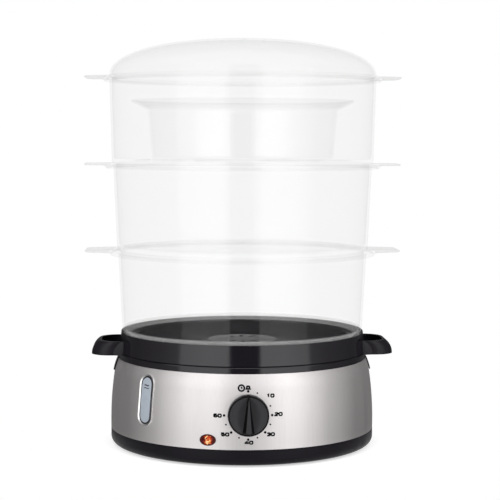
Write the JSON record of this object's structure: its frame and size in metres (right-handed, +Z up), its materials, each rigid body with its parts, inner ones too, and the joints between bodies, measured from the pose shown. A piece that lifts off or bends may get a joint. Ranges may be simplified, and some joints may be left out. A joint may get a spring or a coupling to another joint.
{
  "type": "electric food steamer",
  "caption": "Electric food steamer: round base with a timer knob, drip tray, stacked clear baskets, rice bowl and domed lid that lift off.",
  "frame": {"origin": "middle of the base on the surface that its feet stand on", "axes": "+Z up, -Y to the front with the timer knob, +X to the right as seen from the front"},
  "size_m": [0.3104, 0.2842, 0.3998],
  "materials": {
    "black_plastic": "glossy black polypropylene",
    "stainless_band": "brushed stainless sheet",
    "clear_plastic": "clear moulded food plastic, very slightly hazy",
    "rubber_foot": "matt black rubber",
    "silicone": "red silicone",
    "gland_plastic": "black nylon",
    "bright_steel": "plated steel",
    "heater_sheath": "stainless tube, heat tinted",
    "brass": "stamped brass",
    "red_lens": "clear red polycarbonate",
    "lamp_glass": "neon glow lamp",
    "white_plastic": "natural nylon",
    "lead_sheath": "glass-sleeved leads",
    "thermostat_can": "aluminium can"
  },
  "bodies": {
    "base": {"base_housing": "black_plastic", "steel_band": "stainless_band", "bottom_cover": "black_plastic", "rubber_feet": "rubber_foot", "cover_screws": "bright_steel", "tank_screws": "bright_steel", "water_tank": "black_plastic", "water_window": "clear_plastic", "window_frame": "black_plastic", "gauge_seals": "silicone", "lamp_lens": "red_lens", "neon_lamp": "lamp_glass", "lamp_sleeve": "black_plastic", "cord_gland": "gland_plastic", "element_seal": "silicone", "element_plate": "bright_steel", "element_clamp": "bright_steel", "element_nuts": "bright_steel", "earth_tag": "brass", "thermostat": "thermostat_can", "thermal_fuse": "white_plastic", "element_pins": "heater_sheath", "heating_element": "heater_sheath", "internal_leads": "lead_sheath", "terminal_block": "white_plastic", "terminal_screws": "bright_steel", "timer_case": "white_plastic", "timer_plate": "bright_steel", "timer_screws": "bright_steel", "timer_bell": "bright_steel", "timer_switch": "white_plastic", "mainspring": "bright_steel"},
    "timer_knob_set": {"timer_knob": "black_plastic", "knob_clip": "bright_steel", "timer_shaft": "bright_steel", "timer_wheel": "brass"},
    "timer_pinion_set": {"timer_pinion": "brass"},
    "steam_ring_lift": {"steam_ring": "black_plastic"},
    "tray": {"drip_tray": "black_plastic"},
    "first_tier": {"basket_1": "clear_plastic"},
    "second_tier": {"basket_2": "clear_plastic"},
    "third_tier": {"basket_3": "clear_plastic"},
    "bowl": {"rice_bowl": "clear_plastic"},
    "cover": {"lid": "clear_plastic"}
  },
  "joints": [
    {"name": "timer_turn", "type": "hinge", "parent": "base", "child": "timer_knob_set", "pos_m": [0, -0.1308, 0.0496], "axis": [0, 1, 0], "range_deg": [0, 270]},
    {"name": "pinion_turn", "type": "hinge", "parent": "base", "child": "timer_pinion_set", "pos_m": [0.025, -0.1095, 0.0496], "axis": [0, 1, 0], "range_deg": [-1080, 0]},
    {"name": "steam_ring_off", "type": "slide", "parent": "base", "child": "steam_ring_lift", "axis": [0, 0, 1], "range_m": [0, 0.06]},
    {"name": "tray_off", "type": "slide", "parent": "steam_ring_lift", "child": "tray", "axis": [0, 0, 1], "range_m": [0, 0.1]},
    {"name": "first_basket_off", "type": "slide", "parent": "tray", "child": "first_tier", "axis": [0, 0, 1], "range_m": [0, 0.05]},
    {"name": "second_basket_off", "type": "slide", "parent": "first_tier", "child": "second_tier", "axis": [0, 0, 1], "range_m": [0, 0.05]},
    {"name": "third_basket_off", "type": "slide", "parent": "second_tier", "child": "third_tier", "axis": [0, 0, 1], "range_m": [0, 0.05]},
    {"name": "rice_bowl_off", "type": "slide", "parent": "third_tier", "child": "bowl", "axis": [0, 0, 1], "range_m": [0, 0.1]},
    {"name": "lid_off", "type": "slide", "parent": "bowl", "child": "cover", "axis": [0, 0, 1], "range_m": [0, 0.1]}
  ],
  "couplings": [
    {"joint": "pinion_turn", "follows": "timer_turn", "ratio": -4}
  ]
}
